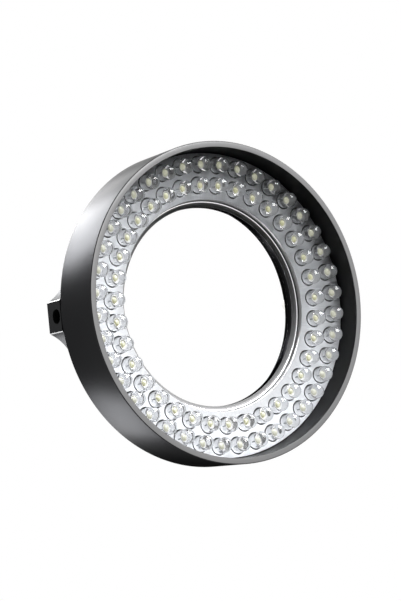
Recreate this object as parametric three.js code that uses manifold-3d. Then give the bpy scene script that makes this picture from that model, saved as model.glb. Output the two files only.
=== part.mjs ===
// Ring light for a stereo microscope: a turned shell with two rows of LEDs in a dished white plate,
// a wide bore to look through, and a rear collar that clamps on the microscope and carries the inlet.
// Millimetres, +Z up. The light lies on its back with its LEDs facing up. The origin is on the ring's
// axis, at the collar's rear face. The inlet's lug points to -X.
import * as THREE from "three";
import { mergeVertices } from "three/addons/utils/BufferGeometryUtils.js";
import Module from "manifold-3d";

const wasm = await Module();
wasm.setup();

// Overall height and clearances. The radii are built up outward from the bore, and the heights from
// the collar up to the LEDs.
const overallHeight = 28;
const fitGap = 0.3;
const overrun = 1;
const mergeDistance = 0.0001;
const ringSides = 48;
const smallSides = 12;

// Bore sleeve: the wall round the bore, with a lip in front and a flange on the rear wall
const boreRadius = 33;
const recessWidth = 1.9;
const sleeveWall = 2;
const lipHeight = 2.2;
const lipChamferWidth = 1.5;
const lipChamferHeight = 1.05;
const flangeMargin = 2;
const flangeThickness = 1.2;

// LEDs: 5 mm domed lamps in strings, each soldered to the next by its own leads
const ledRadius = 2.5;
const ledHeight = 8.7;
const ledStandout = 5.9;
const ledFit = 0.15;
const ledSides = 8;
const domeSteps = 2;
const ledsPerString = 5;
const innerCount = 35;
const innerTurn = 1;
const outerCount = 40;
const outerTurn = 2.4;
const rowGap = 1.7;
const leadSize = 0.5;
const leadSpacing = 2.54;
const leadLength = 0.9;
const leadClearance = 0.638;

// LED plate: a white dished ring, lower at the bore, so that the LEDs lean in over the work
const plateThickness = 1.6;
const plateOverhang = 0.05;
const plateTilt = 7;

// Outer shell: the wall round the LEDs and the rear wall
const shellMargin = 1.6;
const shellWall = 2;
const shellChamfer = 0.4;
const rearWallThickness = 1.8;
const ledgeWidth = 0.8;
const ledgeHeight = 1.4;

// Rear collar with its lug
const collarHeight = 8.3;
const collarSetback = 3.7;
const collarSkin = 0.55;
const collarChamfer = 0.5;
const lugLength = 5.7;
const lugWidth = 10.3;
const lugFlareRadius = 15;
const lugFlareSteps = 6;
const lugChamfer = 0.5;
const lugTurn = 180;

// Wiring board on its standoffs
const boardThickness = 1;
const boardInnerGap = 0.8;
const boardOuterGap = 1.1;
const standoffHeight = 2.9;
const standoffRadius = 1.8;
const standoffInset = 2.7;
const standoffCount = 4;
const boardScrewRadius = 0.8;
const boardScrewHeadRadius = 1.5;
const boardScrewHeadHeight = 1;
const boardScrewDepth = 2.8;
const railInset = 4.7;
const railWidth = 0.8;
const railThickness = 0.2;
const resistorLength = 3.2;
const resistorWidth = 1.6;
const resistorHeight = 0.6;
const diodeLength = 4.3;
const diodeWidth = 2.6;
const diodeHeight = 2.2;
const diodeTurn = 198;

// Screws that hold shell, sleeve and collar together, driven from behind
const mountScrewCount = 6;
const mountScrewTurn = 30;
const mountScrewRadius = 1.25;
const mountScrewHeadRadius = 2.25;
const mountScrewHeadHeight = 2.5;
const mountScrewHexRadius = 1.15;
const mountScrewHexDepth = 1.2;

// Clamping set screws with loose nylon pads
const setScrewCount = 3;
const setScrewRadius = 2.5;
const setScrewLength = 7;
const setScrewSink = 0.2;
const setScrewHexRadius = 1.44;
const setScrewHexDepth = 2.5;
const padRadius = 1.9;
const padThickness = 1.1;
const padStemRadius = 0.8;
const padStemLength = 1.7;

// Power inlet in the lug
const inletRadius = 2.4;
const inletDrop = 2.9;
const inletDepth = 3.3;
const pocketWallThickness = 1.2;
const pocketHalfWidth = 3.1;
const socketNoseLength = 1.5;
const socketBoreRadius = 1.8;
const socketBackThickness = 1.4;
const pinRadius = 0.6;
const tagWidth = 1;
const tagThickness = 0.7;
const tagRise = 1.3;
const contactThickness = 0.25;
const contactLength = 4;
const contactSetback = 3.4;
const tagSlotHalfWidth = 1.6;
const tagSlotMargin = 0.9;

// Wires from the inlet's tags to the terminal under the board
const wireRadius = 0.4;
const wireSides = 6;
const wireSteps = 14;
const terminalLength = 4;
const terminalWidth = 2.8;
const terminalTurn = 162;
const wireGap = 0.7;
const redInset = 3.2;
const blackInset = 1.9;
const wireLeadInTurn = 4.5;

// Radii that follow from the sizes above, from the bore outward
const recessRadius = boreRadius + recessWidth;
const sleeveRadius = recessRadius + sleeveWall;
const plateBoreRadius = recessRadius + plateOverhang;
const innerRadius = sleeveRadius + fitGap + ledRadius;
const outerRadius = innerRadius + 2 * ledRadius + rowGap;
const innerRow = { name: "inner", radius: innerRadius, count: innerCount, turn: innerTurn };
const outerRow = { name: "outer", radius: outerRadius, count: outerCount, turn: outerTurn };
const shellInner = outerRadius + ledRadius + shellMargin;
const shellRadius = shellInner + shellWall;
const plateRadius = shellInner - fitGap;
const collarWall = 2 * (mountScrewHeadRadius + fitGap + collarSkin);
const collarBoreRadius = sleeveRadius + collarSetback;
const collarRadius = collarBoreRadius + collarWall;
const collarMiddle = collarBoreRadius + collarWall / 2;
const flangeRadius = collarMiddle + flangeMargin;
const lugReach = collarRadius + lugLength;
const pocketInner = collarBoreRadius + pocketWallThickness;
const pocketOuter = lugReach - inletDepth;
const standoffRing = shellInner - standoffInset;
const railRadius = sleeveRadius + railInset;
const redRadius = shellInner - redInset;
const blackRadius = shellInner - blackInset;

// Heights, from the collar's rear face up to the plate that holds the LEDs
const inletHeight = collarHeight - inletDrop;
const pocketFloor = inletHeight - pocketHalfWidth;
const tagTop = collarHeight + tagRise;
const rearWallTop = collarHeight + rearWallThickness;
const flangeTop = rearWallTop + flangeThickness;
const boardBottom = rearWallTop + standoffHeight;
const boardTop = boardBottom + boardThickness;
const redHeight = boardBottom - wireGap;
const blackHeight = rearWallTop + wireGap;
const plateAngle = THREE.MathUtils.degToRad(plateTilt);
const ledBottom = ledStandout - ledHeight;
const innerSeat = boardTop + leadClearance + (leadLength - ledBottom) * Math.cos(plateAngle);
const plateFrontAt = (radius) => innerSeat + (radius - innerRadius) * Math.tan(plateAngle);
const plateBackAt = (radius) => plateFrontAt(radius) - plateThickness / Math.cos(plateAngle);
const ledgeTop = plateBackAt(shellInner - ledgeWidth) - fitGap;
const sleeveTop = plateBackAt(plateBoreRadius) - fitGap;
const lipEdge = sleeveTop - lipChamferHeight;
const shoulder = lipEdge - lipHeight;

// Materials
function metal(color, roughness) {
  return new THREE.MeshStandardMaterial({ color, roughness, metalness: 1 });
}

function plain(color, roughness) {
  return new THREE.MeshStandardMaterial({ color, roughness, metalness: 0 });
}

const anodised = metal(0x3c3d40, 0.4);
const screwSteel = metal(0x4a4a4c, 0.35);
const tinned = metal(0xc9c6bd, 0.3);
const brass = metal(0xb8975a, 0.35);
const whitePaint = plain(0xeceef0, 0.45);
const clearEpoxy = plain(0xdfe4e6, 0.1);
const boardMask = plain(0x1f5d38, 0.5);
const blackPlastic = plain(0x161617, 0.5);
const nylon = plain(0xe4e1d6, 0.6);
const ceramic = plain(0x2b2b2e, 0.5);
const redJacket = plain(0xa81c1c, 0.5);
const blackJacket = plain(0x18181a, 0.5);

// A geometry as a solid that can be cut and joined, and back
function solid(geometry) {
  const bare = geometry.clone();
  bare.deleteAttribute("normal");
  bare.deleteAttribute("uv");
  const merged = mergeVertices(bare, mergeDistance);
  const mesh = new wasm.Mesh({
    numProp: 3,
    vertProperties: new Float32Array(merged.attributes.position.array),
    triVerts: new Uint32Array(merged.index.array),
  });
  return new wasm.Manifold(mesh);
}

function geometryOf(body) {
  const mesh = body.getMesh();
  const positions = new Float32Array(mesh.numVert * 3);
  for (let i = 0; i < mesh.numVert; i++) {
    positions.set(mesh.vertProperties.subarray(i * mesh.numProp, i * mesh.numProp + 3), i * 3);
  }
  const geometry = new THREE.BufferGeometry();
  geometry.setAttribute("position", new THREE.BufferAttribute(positions, 3));
  geometry.setIndex(new THREE.BufferAttribute(new Uint32Array(mesh.triVerts), 1));
  geometry.computeVertexNormals();
  return geometry;
}

// A profile of [radius, height] points turned about +Z
function turned(profile, sides) {
  const points = profile.map(([radius, height]) => new THREE.Vector2(radius, height));
  return new THREE.LatheGeometry(points, sides).rotateX(Math.PI / 2);
}

function turnedRing(profile, sides) {
  return turned([...profile, profile[0]], sides);
}

// A round or many-sided rod along +Z
function rod(radius, bottom, top, sides = smallSides) {
  const profile = [
    [0, bottom],
    [radius, bottom],
    [radius, top],
    [0, top],
  ];
  return turned(profile, sides);
}

function block([left, right], [front, back], [bottom, top]) {
  const box = new THREE.BoxGeometry(right - left, back - front, top - bottom);
  return box.translate((left + right) / 2, (front + back) / 2, (bottom + top) / 2);
}

function turnBy(geometry, degrees) {
  return geometry.rotateZ(THREE.MathUtils.degToRad(degrees));
}

// A piece made along +Z from the ring's axis, laid so that it points outward at the given turn
function outward(geometry, degrees, height) {
  return turnBy(geometry.rotateY(Math.PI / 2), degrees).translate(0, 0, height);
}

function joined(bodies) {
  return bodies.reduce((whole, body) => whole.add(body));
}

function evenTurns(count, first) {
  return Array.from({ length: count }, (_, i) => first + (360 * i) / count);
}

const part = new THREE.Group();

function addPiece(name, body, material) {
  const mesh = new THREE.Mesh(geometryOf(body), material);
  mesh.name = name;
  part.add(mesh);
}

// Where the repeated screws sit
const mountScrewTurns = evenTurns(mountScrewCount, mountScrewTurn);
const setScrewTurns = evenTurns(setScrewCount, 0);
const outerStep = 360 / outerRow.count;
const standoffTurns = evenTurns(standoffCount, outerRow.turn + (ledsPerString - 0.5) * outerStep);

function mountScrewHoles(bottom, top) {
  return joined(
    mountScrewTurns.map((turn) => {
      const hole = rod(mountScrewRadius + fitGap, bottom - overrun, top + overrun);
      return solid(turnBy(hole.translate(collarMiddle, 0, 0), turn));
    }),
  );
}

// The way for the inlet's tags up through the rear wall and the sleeve's flange
function tagSlot() {
  const reach = [pocketInner, pocketOuter - contactSetback + tagSlotMargin];
  const width = [-tagSlotHalfWidth, tagSlotHalfWidth];
  return solid(turnBy(block(reach, width, [collarHeight - overrun, flangeTop + overrun]), lugTurn));
}

function outerShell() {
  const top = overallHeight;
  const profile = [
    [shellRadius - shellChamfer, collarHeight],
    [shellRadius, collarHeight + shellChamfer],
    [shellRadius, top - shellChamfer],
    [shellRadius - shellChamfer, top],
    [shellInner, top],
    [shellInner, ledgeTop],
    [shellInner - ledgeWidth, ledgeTop],
    [shellInner - ledgeWidth, ledgeTop - ledgeHeight + ledgeWidth / 2],
    [shellInner, ledgeTop - ledgeHeight],
    [shellInner, rearWallTop],
    [sleeveRadius + fitGap, rearWallTop],
    [sleeveRadius + fitGap, collarHeight],
  ];
  return solid(turnedRing(profile, ringSides))
    .subtract(mountScrewHoles(collarHeight, rearWallTop))
    .subtract(tagSlot());
}

function boreSleeve() {
  const profile = [
    [recessRadius, collarHeight],
    [sleeveRadius, collarHeight],
    [sleeveRadius, rearWallTop],
    [flangeRadius, rearWallTop],
    [flangeRadius, flangeTop],
    [sleeveRadius, flangeTop],
    [sleeveRadius, sleeveTop],
    [boreRadius + lipChamferWidth, sleeveTop],
    [boreRadius, lipEdge],
    [boreRadius, shoulder],
    [recessRadius, shoulder],
  ];
  return solid(turnedRing(profile, ringSides))
    .subtract(mountScrewHoles(rearWallTop, flangeTop))
    .subtract(tagSlot());
}

// One side of the lug's outline: from the face to where its flare meets the collar
function lugSide(side) {
  const corner = new THREE.Vector2(lugReach - lugChamfer, lugWidth / 2);
  const centreReach = collarRadius + lugFlareRadius;
  const cornerReach = corner.length();
  const along = (centreReach ** 2 - lugFlareRadius ** 2 + cornerReach ** 2) / (2 * cornerReach);
  const across = Math.sqrt(centreReach ** 2 - along ** 2);
  const centre = new THREE.Vector2(along, across).rotateAround(new THREE.Vector2(), corner.angle());
  const start = corner.clone().sub(centre).angle();
  const end = centre.clone().negate().angle();
  const points = [[lugReach, corner.y - lugChamfer]];
  for (let i = 0; i <= lugFlareSteps; i++) {
    const angle = THREE.MathUtils.lerp(start, end, i / lugFlareSteps);
    points.push([
      centre.x + lugFlareRadius * Math.cos(angle),
      centre.y + lugFlareRadius * Math.sin(angle),
    ]);
  }
  const meeting = centre.clone().setLength(collarMiddle);
  points.push([meeting.x, meeting.y]);
  return points.map(([x, y]) => new THREE.Vector2(x, side * y));
}

function lug() {
  const outline = new THREE.Shape([...lugSide(-1).reverse(), ...lugSide(1)]);
  const prism = new THREE.ExtrudeGeometry(outline, { depth: collarHeight, bevelEnabled: false });
  return solid(turnBy(prism, lugTurn));
}

function inletHole() {
  const bore = rod(inletRadius, pocketOuter - overrun, lugReach + overrun);
  return solid(outward(bore, lugTurn, inletHeight));
}

function inletPocket() {
  const width = [-pocketHalfWidth, pocketHalfWidth];
  const box = block([pocketInner, pocketOuter], width, [pocketFloor, collarHeight + overrun]);
  return solid(turnBy(box, lugTurn));
}

function headPocket(turn) {
  const radius = mountScrewHeadRadius + fitGap;
  const pocket = rod(radius, -overrun, mountScrewHeadHeight + fitGap);
  return solid(turnBy(pocket.translate(collarMiddle, 0, 0), turn));
}

function setScrewHole(turn) {
  const hole = rod(setScrewRadius + fitGap, collarBoreRadius - 2 * overrun, collarRadius + overrun);
  return solid(outward(hole, turn, collarHeight / 2));
}

function mountCollar() {
  const profile = [
    [collarBoreRadius + collarChamfer, 0],
    [collarRadius - collarChamfer, 0],
    [collarRadius, collarChamfer],
    [collarRadius, collarHeight],
    [collarBoreRadius, collarHeight],
    [collarBoreRadius, collarChamfer],
  ];
  return solid(turnedRing(profile, ringSides))
    .add(lug())
    .subtract(mountScrewHoles(0, collarHeight))
    .subtract(joined(mountScrewTurns.map(headPocket)))
    .subtract(joined(setScrewTurns.map(setScrewHole)))
    .subtract(inletHole())
    .subtract(inletPocket());
}

// LED places: a frame on the plate's front face, its +Z leaning in towards the ring's axis
function rowTurns(row) {
  return evenTurns(row.count, row.turn);
}

function ledFrame(row, turn) {
  const lean = new THREE.Matrix4().makeRotationY(-plateAngle);
  const seat = new THREE.Matrix4().makeTranslation(row.radius, 0, plateFrontAt(row.radius));
  const about = new THREE.Matrix4().makeRotationZ(THREE.MathUtils.degToRad(turn));
  return about.multiply(seat).multiply(lean);
}

function ledHole(row, turn) {
  const hole = rod(ledRadius + ledFit, -plateThickness - overrun, overrun, ledSides);
  return solid(hole.applyMatrix4(ledFrame(row, turn)));
}

function ledPlate() {
  const profile = [
    [plateBoreRadius, plateBackAt(plateBoreRadius)],
    [plateRadius, plateBackAt(plateRadius)],
    [plateRadius, plateFrontAt(plateRadius)],
    [plateBoreRadius, plateFrontAt(plateBoreRadius)],
  ];
  const holes = [innerRow, outerRow].flatMap((row) => rowTurns(row).map((turn) => ledHole(row, turn)));
  return solid(turnedRing(profile, ringSides)).subtract(joined(holes));
}

function ledBody() {
  const profile = [
    [0, ledBottom],
    [ledRadius, ledBottom],
  ];
  for (let i = 0; i <= domeSteps; i++) {
    const angle = ((Math.PI / 2) * i) / domeSteps;
    const radius = i === domeSteps ? 0 : ledRadius * Math.cos(angle);
    profile.push([radius, ledStandout - ledRadius + ledRadius * Math.sin(angle)]);
  }
  return turned(profile, ledSides);
}

// The two leads that neighbours turn to each other, bent over and soldered together below them
function ledLink(row, turn, step) {
  const foot = new THREE.Vector3(0, leadSpacing / 2, ledBottom - leadLength);
  foot.applyMatrix4(ledFrame(row, -step / 2));
  const outer = Math.abs(foot.y) + leadSize / 2;
  const inner = outer - leadSize;
  const top = foot.z + leadLength + overrun;
  const bend = foot.z + leadSize;
  const outline = [
    [-outer, foot.z],
    [outer, foot.z],
    [outer, top],
    [inner, top],
    [inner, bend],
    [-inner, bend],
    [-inner, top],
    [-outer, top],
  ];
  const shape = new THREE.Shape(outline.map(([x, y]) => new THREE.Vector2(x, y)));
  const staple = new THREE.ExtrudeGeometry(shape, { depth: leadSize, bevelEnabled: false });
  staple.rotateX(Math.PI / 2).rotateZ(Math.PI / 2).translate(foot.x - leadSize / 2, 0, 0);
  return turnBy(staple, turn + step / 2);
}

// The long lead at either end of a string, down to its pad on the board
function ledTail(row, turn, side) {
  const seat = new THREE.Vector3(0, (side * leadSpacing) / 2, ledBottom);
  seat.applyMatrix4(ledFrame(row, 0));
  const half = leadSize / 2;
  const span = [seat.y - half, seat.y + half];
  const tail = block([seat.x - half, seat.x + half], span, [boardTop + fitGap, seat.z + overrun]);
  return turnBy(tail, turn);
}

function ledString(row, first) {
  const step = 360 / row.count;
  const last = first + (ledsPerString - 1) * step;
  const pieces = [ledTail(row, first, -1), ledTail(row, last, 1)];
  for (let i = 0; i < ledsPerString; i++) {
    const turn = first + i * step;
    pieces.push(ledBody().applyMatrix4(ledFrame(row, turn)));
    if (turn !== last) pieces.push(ledLink(row, turn, step));
  }
  return joined(pieces.map(solid));
}

function addLedStrings(row) {
  const turns = rowTurns(row);
  for (let i = 0; i < row.count / ledsPerString; i++) {
    const name = `led_string_${row.name}_${i + 1}`;
    addPiece(name, ledString(row, turns[i * ledsPerString]), clearEpoxy);
  }
}

// The wiring board and what is soldered under it
function wiringBoard() {
  const profile = [
    [sleeveRadius + boardInnerGap, boardBottom],
    [shellInner - boardOuterGap, boardBottom],
    [shellInner - boardOuterGap, boardTop],
    [sleeveRadius + boardInnerGap, boardTop],
  ];
  const holes = standoffTurns.map((turn) => {
    const hole = rod(boardScrewRadius + fitGap, boardBottom - overrun, boardTop + overrun);
    return solid(turnBy(hole.translate(standoffRing, 0, 0), turn));
  });
  return solid(turnedRing(profile, ringSides)).subtract(joined(holes));
}

function boardStandoff(turn) {
  const post = rod(standoffRadius, rearWallTop, boardBottom);
  const bore = rod(boardScrewRadius + fitGap, boardTop - boardScrewDepth - fitGap, boardTop);
  const place = (piece) => solid(turnBy(piece.translate(standoffRing, 0, 0), turn));
  return place(post).subtract(place(bore));
}

function boardScrew(turn) {
  const headTop = boardTop + boardScrewHeadHeight;
  const profile = [
    [0, boardTop - boardScrewDepth],
    [boardScrewRadius, boardTop - boardScrewDepth],
    [boardScrewRadius, boardTop],
    [boardScrewHeadRadius, boardTop],
    [boardScrewHeadRadius, headTop],
    [0, headTop],
  ];
  return solid(turnBy(turned(profile, smallSides).translate(standoffRing, 0, 0), turn));
}

// One resistor for each LED string, all soldered to a common copper rail
function ballastResistors() {
  const profile = [
    [railRadius - railWidth / 2, boardBottom - railThickness],
    [railRadius + railWidth / 2, boardBottom - railThickness],
    [railRadius + railWidth / 2, boardBottom],
    [railRadius - railWidth / 2, boardBottom],
  ];
  const strings = (innerRow.count + outerRow.count) / ledsPerString;
  const reach = [railRadius - resistorWidth / 2, railRadius + resistorWidth / 2];
  const span = [-resistorLength / 2, resistorLength / 2];
  const height = [boardBottom - railThickness - resistorHeight, boardBottom - railThickness / 2];
  const resistors = evenTurns(Math.round(strings), 0).map((turn) => {
    return solid(turnBy(block(reach, span, height), turn));
  });
  return solid(turnedRing(profile, ringSides)).add(joined(resistors));
}

function polarityDiode() {
  const middle = standoffRing;
  const reach = [middle - diodeWidth / 2, middle + diodeWidth / 2];
  const span = [-diodeLength / 2, diodeLength / 2];
  const body = block(reach, span, [boardBottom - diodeHeight, boardBottom]);
  return solid(turnBy(body, diodeTurn));
}

function wireTerminal() {
  const middle = (redRadius + blackRadius) / 2;
  const reach = [middle - terminalWidth / 2, middle + terminalWidth / 2];
  const span = [-terminalLength, 0];
  const body = block(reach, span, [rearWallTop + fitGap, boardBottom]);
  return solid(turnBy(body, terminalTurn));
}

// Screws
function mountScrew(turn) {
  const headBottom = fitGap;
  const headTop = headBottom + mountScrewHeadHeight;
  const profile = [
    [0, headBottom],
    [mountScrewHeadRadius, headBottom],
    [mountScrewHeadRadius, headTop],
    [mountScrewRadius, headTop],
    [mountScrewRadius, flangeTop],
    [0, flangeTop],
  ];
  const hex = rod(mountScrewHexRadius, 0, headBottom + mountScrewHexDepth, 6);
  const place = (piece) => solid(turnBy(piece.translate(collarMiddle, 0, 0), turn));
  return place(turned(profile, smallSides)).subtract(place(hex));
}

const setScrewOuter = collarRadius - setScrewSink;
const setScrewInner = setScrewOuter - setScrewLength;

function setScrew(turn) {
  const shank = rod(setScrewRadius, setScrewInner, setScrewOuter);
  const hex = rod(setScrewHexRadius, setScrewOuter - setScrewHexDepth, setScrewOuter + overrun, 6);
  const seat = rod(padStemRadius + fitGap, setScrewInner - overrun, setScrewInner + padStemLength);
  const place = (piece) => solid(outward(piece, turn, collarHeight / 2));
  return place(shank).subtract(place(hex)).subtract(place(seat));
}

function clampPad(turn) {
  const face = setScrewInner - fitGap;
  const profile = [
    [0, face - padThickness],
    [padRadius, face - padThickness],
    [padRadius, face],
    [padStemRadius, face],
    [padStemRadius, face + padStemLength],
    [0, face + padStemLength],
  ];
  return solid(outward(turned(profile, smallSides), turn, collarHeight / 2));
}

// Power inlet: a moulded socket body, its centre pin and its spring contact
const socketInner = pocketInner + fitGap;
const socketOuter = pocketOuter - fitGap;
const socketHalfWidth = pocketHalfWidth - fitGap;
const pinTagStart = socketInner + socketBackThickness / 2;
const pinTagReach = [pinTagStart, pinTagStart + tagThickness];
const contactEnd = pocketOuter - contactSetback;
const contactTagReach = [contactEnd - tagThickness, contactEnd];
const contactHeight = inletHeight + socketBoreRadius - contactThickness;

function grown([low, high], margin) {
  return [low - margin, high + margin];
}

function lugPlaced(piece) {
  return solid(turnBy(piece, lugTurn));
}

function socketBody() {
  const width = [-socketHalfWidth, socketHalfWidth];
  const box = block([socketInner, socketOuter], width, [pocketFloor + fitGap, collarHeight - fitGap]);
  const nose = rod(inletRadius - fitGap, socketOuter - overrun, socketOuter + socketNoseLength);
  const boreStart = socketInner + socketBackThickness;
  const bore = rod(socketBoreRadius, boreStart, socketOuter + socketNoseLength + overrun);
  const tag = grown([-tagWidth / 2, tagWidth / 2], fitGap);
  const aboveBody = collarHeight + overrun;
  const pinSlot = block(grown(pinTagReach, fitGap), tag, [inletHeight - pinRadius - fitGap, aboveBody]);
  const contactSlot = block(grown(contactTagReach, fitGap), tag, [inletHeight, aboveBody]);
  return lugPlaced(box)
    .add(solid(outward(nose, lugTurn, inletHeight)))
    .subtract(solid(outward(bore, lugTurn, inletHeight)))
    .subtract(lugPlaced(pinSlot))
    .subtract(lugPlaced(contactSlot));
}

function centrePin() {
  const pin = rod(pinRadius, pinTagReach[0], socketOuter + socketNoseLength - fitGap, ledSides);
  const tag = block(pinTagReach, [-tagWidth / 2, tagWidth / 2], [inletHeight - pinRadius, tagTop]);
  return solid(outward(pin, lugTurn, inletHeight)).add(lugPlaced(tag));
}

function springContact() {
  const width = [-tagWidth / 2, tagWidth / 2];
  const low = contactHeight - contactThickness;
  const strip = block([contactTagReach[0], contactTagReach[0] + contactLength], width, [low, contactHeight]);
  const tag = block(contactTagReach, width, [low, tagTop]);
  return lugPlaced(strip).add(lugPlaced(tag));
}

// Wires: each rises from its tag, swings out over the rear wall and runs round to the terminal
function polarPoint(radius, degrees, height) {
  const angle = THREE.MathUtils.degToRad(degrees);
  return new THREE.Vector3(radius * Math.cos(angle), radius * Math.sin(angle), height);
}

function wire(tagReach, runRadius, runHeight) {
  const start = (tagReach[0] + tagReach[1]) / 2;
  const entryTurn = THREE.MathUtils.radToDeg(fitGap / runRadius);
  const rise = (runHeight + tagTop) / 2;
  const points = [
    polarPoint(start, lugTurn, tagTop + fitGap),
    polarPoint(start, lugTurn, rise),
    polarPoint((start + runRadius) / 2, lugTurn - wireLeadInTurn / 2, runHeight),
    polarPoint(runRadius, lugTurn - wireLeadInTurn * 2, runHeight),
    polarPoint(runRadius, terminalTurn + entryTurn, runHeight),
  ];
  const section = new THREE.Shape();
  for (let i = 0; i < wireSides; i++) {
    const angle = (2 * Math.PI * i) / wireSides;
    const place = [wireRadius * Math.cos(angle), wireRadius * Math.sin(angle)];
    if (i === 0) section.moveTo(...place);
    else section.lineTo(...place);
  }
  const path = new THREE.CatmullRomCurve3(points);
  return solid(new THREE.ExtrudeGeometry(section, { steps: wireSteps, extrudePath: path }));
}

addPiece("outer_shell", outerShell(), anodised);
addPiece("bore_sleeve", boreSleeve(), anodised);
addPiece("mount_collar", mountCollar(), anodised);
addPiece("led_plate", ledPlate(), whitePaint);
addLedStrings(innerRow);
addLedStrings(outerRow);
addPiece("wiring_board", wiringBoard(), boardMask);
addPiece("ballast_resistors", ballastResistors(), ceramic);
addPiece("polarity_diode", polarityDiode(), blackPlastic);
addPiece("wire_terminal", wireTerminal(), nylon);
addPiece("power_socket", socketBody(), blackPlastic);
addPiece("socket_centre_pin", centrePin(), tinned);
addPiece("socket_spring_contact", springContact(), brass);
addPiece("red_wire", wire(pinTagReach, redRadius, redHeight), redJacket);
addPiece("black_wire", wire(contactTagReach, blackRadius, blackHeight), blackJacket);
standoffTurns.forEach((turn, i) => {
  addPiece(`board_standoff_${i + 1}`, boardStandoff(turn), brass);
  addPiece(`board_screw_${i + 1}`, boardScrew(turn), screwSteel);
});
mountScrewTurns.forEach((turn, i) => {
  addPiece(`mount_screw_${i + 1}`, mountScrew(turn), screwSteel);
});
setScrewTurns.forEach((turn, i) => {
  addPiece(`set_screw_${i + 1}`, setScrew(turn), screwSteel);
  addPiece(`clamp_pad_${i + 1}`, clampPad(turn), nylon);
});

export default part;
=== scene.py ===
"""Looks of a microscope ring light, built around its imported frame.

The frame is in metres with +Z along the ring's axis, the way the lamps shine. Sizes here are in
millimetres, as in the part's source, and are scaled as each mesh is made. The floor and the
lights are given in metres.
"""

import math
import random

import bpy
from mathutils import Matrix, Vector


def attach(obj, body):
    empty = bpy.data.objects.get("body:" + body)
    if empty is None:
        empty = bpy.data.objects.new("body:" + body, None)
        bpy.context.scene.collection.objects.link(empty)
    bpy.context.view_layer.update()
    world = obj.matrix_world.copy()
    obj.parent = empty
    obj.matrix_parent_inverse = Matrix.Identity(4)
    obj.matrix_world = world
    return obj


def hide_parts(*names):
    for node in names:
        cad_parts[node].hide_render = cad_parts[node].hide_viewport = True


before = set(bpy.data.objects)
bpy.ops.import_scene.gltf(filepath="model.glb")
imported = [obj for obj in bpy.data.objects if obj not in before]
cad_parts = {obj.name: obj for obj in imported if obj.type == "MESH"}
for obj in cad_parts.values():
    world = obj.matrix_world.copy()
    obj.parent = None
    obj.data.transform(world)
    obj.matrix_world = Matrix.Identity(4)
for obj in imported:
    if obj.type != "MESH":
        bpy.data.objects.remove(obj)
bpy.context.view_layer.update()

MM = 0.001
TURN = 2 * math.pi
scene = bpy.context.scene

# Sizes of the ring, as in the part's source

HEIGHT = 28
COLLAR_HEIGHT = 8.3
SHELL_RADIUS = 52.5
SHELL_INNER = 50.5
REAR_WALL_TOP = 10.1
PLATE_RADIUS = 50.2
PLATE_BORE = 34.95
PLATE_TILT = math.radians(7)
PLATE_THICKNESS = 1.6
PLATE_RISE = PLATE_THICKNESS / math.cos(PLATE_TILT)
PLATE_EDGE_HEIGHT = 19.6
PLATE_GAP = 0.3
LEDGE_WIDTH = 0.8
SLEEVE_RADIUS = 36.9
RECESS_RADIUS = 34.9
BORE_RADIUS = 33
BORE_STEP = 2.2
LIP_WIDTH = 1.5
LIP_DROP = 1.05
FLANGE_RADIUS = 45.7
FLANGE_TOP = 11.3
COLLAR_BORE = 40.6
COLLAR_RADIUS = 46.8
COLLAR_MIDDLE = 43.7


def plate_front(radius):
    return PLATE_EDGE_HEIGHT - (PLATE_RADIUS - radius) * math.tan(PLATE_TILT)


def plate_back(radius):
    return plate_front(radius) - PLATE_RISE


LEDGE_TOP = plate_back(SHELL_INNER - LEDGE_WIDTH) - PLATE_GAP
SLEEVE_TOP = plate_back(PLATE_BORE) - PLATE_GAP
LIP_EDGE = SLEEVE_TOP - LIP_DROP
SHOULDER = LIP_EDGE - BORE_STEP

# Camera, fitted to the photograph

FOCAL_PIXELS = 1675.84
IMAGE_HEIGHT = 601
SENSOR_WIDTH = 36
CLIP_START = 0.01
AXIS_SIDE = math.radians(33.24)
AXIS_RISE = math.radians(7.339)
RING_ROLL = math.radians(2.3)
RIM_CENTRE = Vector((10.456, -0.126, -539.98))

axis = Vector(
    (
        math.sin(AXIS_SIDE) * math.cos(AXIS_RISE),
        math.sin(AXIS_RISE),
        math.cos(AXIS_SIDE) * math.cos(AXIS_RISE),
    )
)
across = Vector((0, 1, 0)).cross(axis).normalized()
upward = axis.cross(across)
row_x = across * math.cos(RING_ROLL) + upward * math.sin(RING_ROLL)
row_y = upward * math.cos(RING_ROLL) - across * math.sin(RING_ROLL)
view_rows = Matrix((row_x, row_y, axis))
camera_place = view_rows @ -(RIM_CENTRE - axis * HEIGHT) * MM

camera_data = bpy.data.cameras.new("camera")
camera_data.sensor_width = SENSOR_WIDTH
camera_data.lens = FOCAL_PIXELS / IMAGE_HEIGHT * SENSOR_WIDTH
camera_data.clip_start = CLIP_START
camera = bpy.data.objects.new("camera", camera_data)
camera.matrix_world = Matrix.Translation(camera_place) @ view_rows.to_4x4()
scene.collection.objects.link(camera)
scene.camera = camera

# Node helpers

NOISE_ROUGHNESS = 0.55
NOISE_LOW = 0.3
NOISE_HIGH = 0.7
# Numbers of the colour sockets of a Mix node
COLOR_A, COLOR_B, COLOR_RESULT = 6, 7, 2


def new_material(name):
    made = bpy.data.materials.new(name)
    made.use_nodes = True
    tree = made.node_tree
    shader = tree.nodes["Principled BSDF"]
    return made, tree, shader


def math_node(tree, operation, first, second):
    """A math node on links or numbers."""
    node = tree.nodes.new("ShaderNodeMath")
    node.operation = operation
    for socket, value in ((node.inputs[0], first), (node.inputs[1], second)):
        if isinstance(value, (int, float)):
            socket.default_value = value
        else:
            tree.links.new(value, socket)
    return node.outputs[0]


def map_range(tree, value, from_low, from_high, to_low=0, to_high=1):
    node = tree.nodes.new("ShaderNodeMapRange")
    ends = {"From Min": from_low, "From Max": from_high, "To Min": to_low, "To Max": to_high}
    for socket, end in ends.items():
        node.inputs[socket].default_value = end
    tree.links.new(value, node.inputs["Value"])
    return node


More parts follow.
